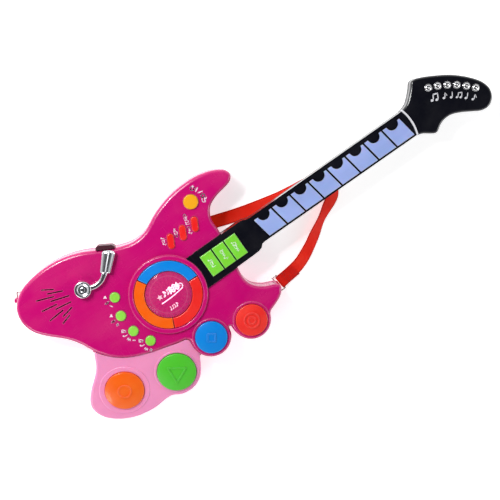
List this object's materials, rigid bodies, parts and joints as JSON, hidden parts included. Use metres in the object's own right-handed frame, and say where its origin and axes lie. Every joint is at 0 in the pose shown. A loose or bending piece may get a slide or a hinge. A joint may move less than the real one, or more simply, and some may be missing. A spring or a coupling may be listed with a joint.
{
  "type": "toy electric guitar",
  "caption": "Toy electric guitar with a play disc, drum pads, press keys on the neck, a swinging lever and a webbing shoulder strap.",
  "frame": {"origin": "middle of the guitar's underside as it lies on its back, on the plane of its rest pads", "axes": "+Z out of the playing face, +X from the body to the head, +Y towards the upper horn"},
  "size_m": [0.649, 0.2347, 0.0504],
  "materials": {
    "magenta_shell": "moulded gloss",
    "pink_cover": "moulded gloss",
    "black_shell": "moulded gloss",
    "white_nut": "moulded gloss",
    "chrome_trim": "vacuum-plated plastic",
    "clear_dome": "tinted clear plastic",
    "printed_disc": "printed film",
    "blue_button": "moulded gloss",
    "orange_button": "moulded gloss",
    "red_button": "moulded gloss",
    "green_pad": "moulded gloss",
    "amber_button": "moulded gloss",
    "lime_button": "moulded gloss",
    "green_key": "moulded gloss",
    "lavender_key": "moulded gloss",
    "maroon_block": "moulded satin",
    "speaker_steel": "pressed steel",
    "speaker_paper": "paper cone",
    "circuit_board": "solder mask",
    "board_black": "moulded packages",
    "rubber_dome": "silicone rubber",
    "lamp_clear": "clear epoxy",
    "cell_wrap": "printed sleeve",
    "plated_steel": "nickel plated",
    "magenta_door": "moulded gloss",
    "red_webbing": "woven polyester"
  },
  "bodies": {
    "guitar": {"front_shell": "magenta_shell", "rear_shell": "magenta_shell", "dome_base": "magenta_shell", "wing_cover": "pink_cover", "neck_front": "black_shell", "neck_rear": "black_shell", "head_front": "black_shell", "head_rear": "black_shell", "nut_strip": "white_nut", "tuner_studs": "chrome_trim", "dome_lens": "clear_dome", "dome_print": "printed_disc", "arm_rest": "maroon_block", "speaker_frame": "speaker_steel", "speaker_magnet": "speaker_steel", "speaker_cone": "speaker_paper", "main_board": "circuit_board", "neck_board": "circuit_board", "switch_boards": "circuit_board", "board_parts": "board_black", "button_domes": "rubber_dome", "neck_domes": "rubber_dome", "pad_domes": "rubber_dome", "leds": "lamp_clear", "batteries": "cell_wrap", "battery_contacts": "plated_steel", "case_screws": "plated_steel", "lever_spring": "plated_steel", "strap_rings": "plated_steel", "strap_webbing": "red_webbing"},
    "ring_blue": {"ring_button_blue": "blue_button"},
    "ring_orange": {"ring_button_orange": "orange_button"},
    "ring_red": {"ring_button_red": "red_button"},
    "drum_pad_orange": {"pad_orange": "orange_button"},
    "drum_pad_green": {"pad_green": "green_pad"},
    "drum_pad_blue": {"pad_blue": "blue_button"},
    "drum_pad_red": {"pad_red": "red_button"},
    "power": {"power_button": "amber_button"},
    "mode_1": {"mode_button_1": "red_button"},
    "mode_2": {"mode_button_2": "red_button"},
    "mode_3": {"mode_button_3": "red_button"},
    "volume_down": {"volume_down_button": "lime_button"},
    "volume_up": {"volume_up_button": "lime_button"},
    "tempo_down": {"tempo_down_button": "lime_button"},
    "tempo_up": {"tempo_up_button": "lime_button"},
    "rhythm_1": {"rhythm_key_1": "green_key"},
    "rhythm_2": {"rhythm_key_2": "green_key"},
    "rhythm_3": {"rhythm_key_3": "green_key"},
    "neck_1": {"neck_key_1": "lavender_key"},
    "neck_2": {"neck_key_2": "lavender_key"},
    "neck_3": {"neck_key_3": "lavender_key"},
    "neck_4": {"neck_key_4": "lavender_key"},
    "neck_5": {"neck_key_5": "lavender_key"},
    "neck_6": {"neck_key_6": "lavender_key"},
    "neck_7": {"neck_key_7": "lavender_key"},
    "neck_8": {"neck_key_8": "lavender_key"},
    "lever": {"tone_lever": "chrome_trim", "lever_washer": "plated_steel"},
    "door": {"battery_door": "magenta_door", "door_screw": "plated_steel"}
  },
  "joints": [
    {"name": "ring_blue_press", "type": "slide", "parent": "guitar", "child": "ring_blue", "axis": [0, 0, -1], "range_m": [0, 0.0015], "stiffness_N_per_m": 400},
    {"name": "ring_orange_press", "type": "slide", "parent": "guitar", "child": "ring_orange", "axis": [0, 0, -1], "range_m": [0, 0.0015], "stiffness_N_per_m": 400},
    {"name": "ring_red_press", "type": "slide", "parent": "guitar", "child": "ring_red", "axis": [0, 0, -1], "range_m": [0, 0.0015], "stiffness_N_per_m": 400},
    {"name": "drum_pad_orange_press", "type": "slide", "parent": "guitar", "child": "drum_pad_orange", "axis": [0.0636, 0.1238, -0.9903], "range_m": [0, 0.002], "stiffness_N_per_m": 600},
    {"name": "drum_pad_green_press", "type": "slide", "parent": "guitar", "child": "drum_pad_green", "axis": [0.0636, 0.1238, -0.9903], "range_m": [0, 0.002], "stiffness_N_per_m": 600},
    {"name": "drum_pad_blue_press", "type": "slide", "parent": "guitar", "child": "drum_pad_blue", "axis": [0, 0, -1], "range_m": [0, 0.002], "stiffness_N_per_m": 600},
    {"name": "drum_pad_red_press", "type": "slide", "parent": "guitar", "child": "drum_pad_red", "axis": [0, 0, -1], "range_m": [0, 0.002], "stiffness_N_per_m": 600},
    {"name": "power_press", "type": "slide", "parent": "guitar", "child": "power", "axis": [0, 0, -1], "range_m": [0, 0.0015], "stiffness_N_per_m": 400},
    {"name": "mode_1_press", "type": "slide", "parent": "guitar", "child": "mode_1", "axis": [0, 0, -1], "range_m": [0, 0.0015], "stiffness_N_per_m": 300},
    {"name": "mode_2_press", "type": "slide", "parent": "guitar", "child": "mode_2", "axis": [0, 0, -1], "range_m": [0, 0.0015], "stiffness_N_per_m": 300},
    {"name": "mode_3_press", "type": "slide", "parent": "guitar", "child": "mode_3", "axis": [0, 0, -1], "range_m": [0, 0.0015], "stiffness_N_per_m": 300},
    {"name": "volume_down_press", "type": "slide", "parent": "guitar", "child": "volume_down", "axis": [0, 0, -1], "range_m": [0, 0.0015], "stiffness_N_per_m": 300},
    {"name": "volume_up_press", "type": "slide", "parent": "guitar", "child": "volume_up", "axis": [0, 0, -1], "range_m": [0, 0.0015], "stiffness_N_per_m": 300},
    {"name": "tempo_down_press", "type": "slide", "parent": "guitar", "child": "tempo_down", "axis": [0, 0, -1], "range_m": [0, 0.0015], "stiffness_N_per_m": 300},
    {"name": "tempo_up_press", "type": "slide", "parent": "guitar", "child": "tempo_up", "axis": [0, 0, -1], "range_m": [0, 0.0015], "stiffness_N_per_m": 300},
    {"name": "rhythm_1_press", "type": "slide", "parent": "guitar", "child": "rhythm_1", "axis": [0, 0, -1], "range_m": [0, 0.0015], "stiffness_N_per_m": 400},
    {"name": "rhythm_2_press", "type": "slide", "parent": "guitar", "child": "rhythm_2", "axis": [0, 0, -1], "range_m": [0, 0.0015], "stiffness_N_per_m": 400},
    {"name": "rhythm_3_press", "type": "slide", "parent": "guitar", "child": "rhythm_3", "axis": [0, 0, -1], "range_m": [0, 0.0015], "stiffness_N_per_m": 400},
    {"name": "neck_1_press", "type": "slide", "parent": "guitar", "child": "neck_1", "axis": [0, 0, -1], "range_m": [0, 0.0015], "stiffness_N_per_m": 300},
    {"name": "neck_2_press", "type": "slide", "parent": "guitar", "child": "neck_2", "axis": [0, 0, -1], "range_m": [0, 0.0015], "stiffness_N_per_m": 300},
    {"name": "neck_3_press", "type": "slide", "parent": "guitar", "child": "neck_3", "axis": [0, 0, -1], "range_m": [0, 0.0015], "stiffness_N_per_m": 300},
    {"name": "neck_4_press", "type": "slide", "parent": "guitar", "child": "neck_4", "axis": [0, 0, -1], "range_m": [0, 0.0015], "stiffness_N_per_m": 300},
    {"name": "neck_5_press", "type": "slide", "parent": "guitar", "child": "neck_5", "axis": [0, 0, -1], "range_m": [0, 0.0015], "stiffness_N_per_m": 300},
    {"name": "neck_6_press", "type": "slide", "parent": "guitar", "child": "neck_6", "axis": [0, 0, -1], "range_m": [0, 0.0015], "stiffness_N_per_m": 300},
    {"name": "neck_7_press", "type": "slide", "parent": "guitar", "child": "neck_7", "axis": [0, 0, -1], "range_m": [0, 0.0015], "stiffness_N_per_m": 300},
    {"name": "neck_8_press", "type": "slide", "parent": "guitar", "child": "neck_8", "axis": [0, 0, -1], "range_m": [0, 0.0015], "stiffness_N_per_m": 300},
    {"name": "lever_swing", "type": "hinge", "parent": "guitar", "child": "lever", "pos_m": [-0.2361, 0.0693, 0.046], "axis": [0, 0, 1], "range_deg": [-12, 10], "stiffness_Nm_per_rad": 0.05},
    {"name": "door_hinge", "type": "hinge", "parent": "guitar", "child": "door", "pos_m": [-0.2311, -0.0488, 0.004], "axis": [0, 1, 0], "range_deg": [0, 75]}
  ]
}
